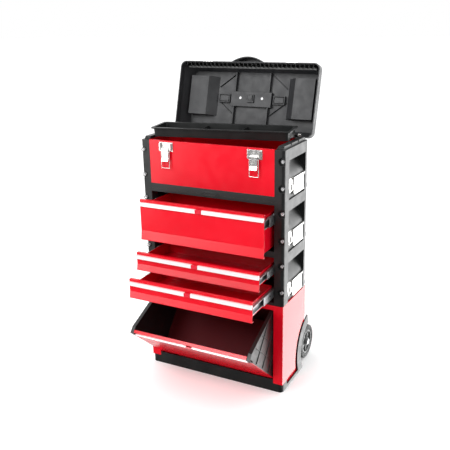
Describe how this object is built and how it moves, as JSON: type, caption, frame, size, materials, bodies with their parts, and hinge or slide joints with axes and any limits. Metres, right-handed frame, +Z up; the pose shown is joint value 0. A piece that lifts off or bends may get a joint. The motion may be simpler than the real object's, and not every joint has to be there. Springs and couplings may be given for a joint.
{
  "type": "rolling tool box",
  "caption": "Upright rolling tool box: tilt-out bin on two wheels, drawer modules with side latches and grips, and a lidded top box with a lift-out tray.",
  "frame": {"origin": "on the floor under the middle of the stacked modules", "axes": "+X to the right seen from the front, drawers open towards -Y, +Z up"},
  "size_m": [0.528, 0.5383, 1.0904],
  "materials": {
    "red_paint": "gloss red enamel on folded sheet",
    "black_moulding": "fine-textured black moulding",
    "black_lid": "textured black moulding",
    "cover_plastic": "smooth black cover",
    "aluminium_strip": "satin anodised extrusion",
    "chrome": "bright plated steel",
    "zinc_steel": "dull zinc plated steel",
    "red_catch": "red moulded catch",
    "tyre": "dark rubber tread",
    "wheel_hub": "grey-black moulded hub"
  },
  "bodies": {
    "stack": {"base_tray": "black_moulding", "bin_housing": "red_paint", "axle": "zinc_steel", "handle_sleeves": "black_moulding", "lower_sides": "black_moulding", "lower_chassis": "black_moulding", "middle_sides": "black_moulding", "middle_chassis": "black_moulding", "back_panels": "red_paint", "top_sides": "black_moulding", "top_box": "red_paint", "top_base": "black_moulding", "top_rim": "black_moulding", "slide_outer_rails": "zinc_steel", "side_latch_mounts": "chrome", "screws": "chrome", "front_latch_bases": "chrome"},
    "wheel_left": {"tyre_left": "tyre", "hub_left": "wheel_hub"},
    "wheel_right": {"tyre_right": "tyre", "hub_right": "wheel_hub"},
    "handle_middle": {"handle_middle_tubes": "chrome"},
    "handle_inner": {"handle_inner_tubes": "chrome", "handle_grip": "black_moulding"},
    "bin_door": {"door_panel": "red_paint", "door_strip": "aluminium_strip", "door_sides": "black_moulding", "door_pins": "zinc_steel"},
    "door_catch": {"door_catch": "red_catch"},
    "deep_drawer": {"deep_drawer_body": "red_paint", "deep_drawer_strip": "aluminium_strip", "deep_slide_inner": "zinc_steel"},
    "deep_slide": {"deep_slide_middle": "zinc_steel"},
    "deep_catch": {"deep_drawer_catch": "red_catch"},
    "upper_drawer": {"upper_drawer_body": "red_paint", "upper_drawer_strip": "aluminium_strip", "upper_slide_inner": "zinc_steel"},
    "upper_slide": {"upper_slide_middle": "zinc_steel"},
    "upper_catch": {"upper_drawer_catch": "red_catch"},
    "lower_drawer": {"lower_drawer_body": "red_paint", "lower_drawer_strip": "aluminium_strip", "lower_slide_inner": "zinc_steel"},
    "lower_slide": {"lower_slide_middle": "zinc_steel"},
    "lower_catch": {"lower_drawer_catch": "red_catch"},
    "side_latch_top_right": {"side_latch_top_right": "chrome"},
    "side_latch_top_left": {"side_latch_top_left": "chrome"},
    "side_latch_middle_right": {"side_latch_middle_right": "chrome"},
    "side_latch_middle_left": {"side_latch_middle_left": "chrome"},
    "side_latch_lower_right": {"side_latch_lower_right": "chrome"},
    "side_latch_lower_left": {"side_latch_lower_left": "chrome"},
    "front_lever_right": {"front_latch_lever_right": "chrome"},
    "front_bail_right": {"front_latch_bail_right": "chrome"},
    "front_lever_left": {"front_latch_lever_left": "chrome"},
    "front_bail_left": {"front_latch_bail_left": "chrome"},
    "tray": {"tray": "black_moulding"},
    "lid": {"lid_shell": "black_lid", "lid_hardware": "chrome"},
    "lid_cover_right": {"lid_cover_right": "cover_plastic"},
    "lid_cover_left": {"lid_cover_left": "cover_plastic"},
    "lid_handle": {"lid_handle": "black_moulding"}
  },
  "joints": [
    {"name": "wheel_left_spin", "type": "hinge", "parent": "stack", "child": "wheel_left", "pos_m": [0, 0.172, 0.0625], "axis": [1, 0, 0], "continuous": true},
    {"name": "wheel_right_spin", "type": "hinge", "parent": "stack", "child": "wheel_right", "pos_m": [0, 0.172, 0.0625], "axis": [1, 0, 0], "continuous": true},
    {"name": "handle_middle_slide", "type": "slide", "parent": "stack", "child": "handle_middle", "axis": [0, 0, 1], "range_m": [0, 0.205]},
    {"name": "handle_inner_slide", "type": "slide", "parent": "handle_middle", "child": "handle_inner", "axis": [0, 0, 1], "range_m": [0, 0.205]},
    {"name": "bin_door_tilt", "type": "hinge", "parent": "stack", "child": "bin_door", "pos_m": [0, -0.091, 0.054], "axis": [1, 0, 0], "range_deg": [-49, 0]},
    {"name": "door_catch_push", "type": "slide", "parent": "bin_door", "child": "door_catch", "axis": [0, 0.6561, 0.7547], "range_m": [0, 0.002], "stiffness_N_per_m": 300, "springref_m": -0.0005},
    {"name": "deep_drawer_pull", "type": "slide", "parent": "stack", "child": "deep_drawer", "axis": [0, -1, 0], "range_m": [-0.081, 0.094]},
    {"name": "deep_slide_follow", "type": "slide", "parent": "stack", "child": "deep_slide", "axis": [0, -1, 0], "range_m": [-0.0405, 0.047]},
    {"name": "deep_catch_push", "type": "slide", "parent": "deep_drawer", "child": "deep_catch", "axis": [0, 1, 0], "range_m": [0, 0.002], "stiffness_N_per_m": 300, "springref_m": -0.0005},
    {"name": "upper_drawer_pull", "type": "slide", "parent": "stack", "child": "upper_drawer", "axis": [0, -1, 0], "range_m": [-0.117, 0.058]},
    {"name": "upper_slide_follow", "type": "slide", "parent": "stack", "child": "upper_slide", "axis": [0, -1, 0], "range_m": [-0.0585, 0.029]},
    {"name": "upper_catch_push", "type": "slide", "parent": "upper_drawer", "child": "upper_catch", "axis": [0, 1, 0], "range_m": [0, 0.002], "stiffness_N_per_m": 300, "springref_m": -0.0005},
    {"name": "lower_drawer_pull", "type": "slide", "parent": "stack", "child": "lower_drawer", "axis": [0, -1, 0], "range_m": [-0.168, 0.007]},
    {"name": "lower_slide_follow", "type": "slide", "parent": "stack", "child": "lower_slide", "axis": [0, -1, 0], "range_m": [-0.084, 0.0035]},
    {"name": "lower_catch_push", "type": "slide", "parent": "lower_drawer", "child": "lower_catch", "axis": [0, 1, 0], "range_m": [0, 0.002], "stiffness_N_per_m": 300, "springref_m": -0.0005},
    {"name": "side_latch_top_right_swing", "type": "hinge", "parent": "stack", "child": "side_latch_top_right", "pos_m": [0.2586, 0.0225, 0.734], "axis": [0, -1, 0], "range_deg": [0, 100]},
    {"name": "side_latch_top_left_swing", "type": "hinge", "parent": "stack", "child": "side_latch_top_left", "pos_m": [-0.2586, 0.0225, 0.734], "axis": [0, 1, 0], "range_deg": [0, 100]},
    {"name": "side_latch_middle_right_swing", "type": "hinge", "parent": "stack", "child": "side_latch_middle_right", "pos_m": [0.2586, 0.0225, 0.56], "axis": [0, -1, 0], "range_deg": [0, 100]},
    {"name": "side_latch_middle_left_swing", "type": "hinge", "parent": "stack", "child": "side_latch_middle_left", "pos_m": [-0.2586, 0.0225, 0.56], "axis": [0, 1, 0], "range_deg": [0, 100]},
    {"name": "side_latch_lower_right_swing", "type": "hinge", "parent": "stack", "child": "side_latch_lower_right", "pos_m": [0.2586, 0.0225, 0.382], "axis": [0, -1, 0], "range_deg": [0, 100]},
    {"name": "side_latch_lower_left_swing", "type": "hinge", "parent": "stack", "child": "side_latch_lower_left", "pos_m": [-0.2586, 0.0225, 0.382], "axis": [0, 1, 0], "range_deg": [0, 100]},
    {"name": "front_lever_right_swing", "type": "hinge", "parent": "stack", "child": "front_lever_right", "pos_m": [0.161, -0.107, 0.812], "axis": [1, 0, 0], "range_deg": [-100, 0]},
    {"name": "front_bail_right_swing", "type": "hinge", "parent": "front_lever_right", "child": "front_bail_right", "pos_m": [0.161, -0.109, 0.803], "axis": [-1, 0, 0], "range_deg": [0, 165]},
    {"name": "front_lever_left_swing", "type": "hinge", "parent": "stack", "child": "front_lever_left", "pos_m": [-0.161, -0.107, 0.812], "axis": [1, 0, 0], "range_deg": [-100, 0]},
    {"name": "front_bail_left_swing", "type": "hinge", "parent": "front_lever_left", "child": "front_bail_left", "pos_m": [-0.161, -0.109, 0.803], "axis": [-1, 0, 0], "range_deg": [0, 165]},
    {"name": "tray_lift_off", "type": "slide", "parent": "stack", "child": "tray", "axis": [0, 0, 1], "range_m": [0, 0.16]},
    {"name": "lid_swing", "type": "hinge", "parent": "stack", "child": "lid", "pos_m": [0, 0.128, 0.842], "axis": [-1, 0, 0], "range_deg": [-106, 0]},
    {"name": "lid_cover_right_swing", "type": "hinge", "parent": "lid", "child": "lid_cover_right", "pos_m": [0.132, 0.23636, 0.95033], "axis": [0, 0.2756, 0.9613], "range_deg": [0, 110]},
    {"name": "lid_cover_left_swing", "type": "hinge", "parent": "lid", "child": "lid_cover_left", "pos_m": [-0.132, 0.23636, 0.95033], "axis": [0, -0.2756, -0.9613], "range_deg": [0, 110]},
    {"name": "lid_handle_swing", "type": "hinge", "parent": "lid", "child": "lid_handle", "pos_m": [0, 0.22914, 0.95344], "axis": [1, 0, 0], "range_deg": [0, 100]}
  ],
  "couplings": [
    {"joint": "deep_slide_follow", "follows": "deep_drawer_pull", "ratio": 0.5},
    {"joint": "upper_slide_follow", "follows": "upper_drawer_pull", "ratio": 0.5},
    {"joint": "lower_slide_follow", "follows": "lower_drawer_pull", "ratio": 0.5}
  ]
}
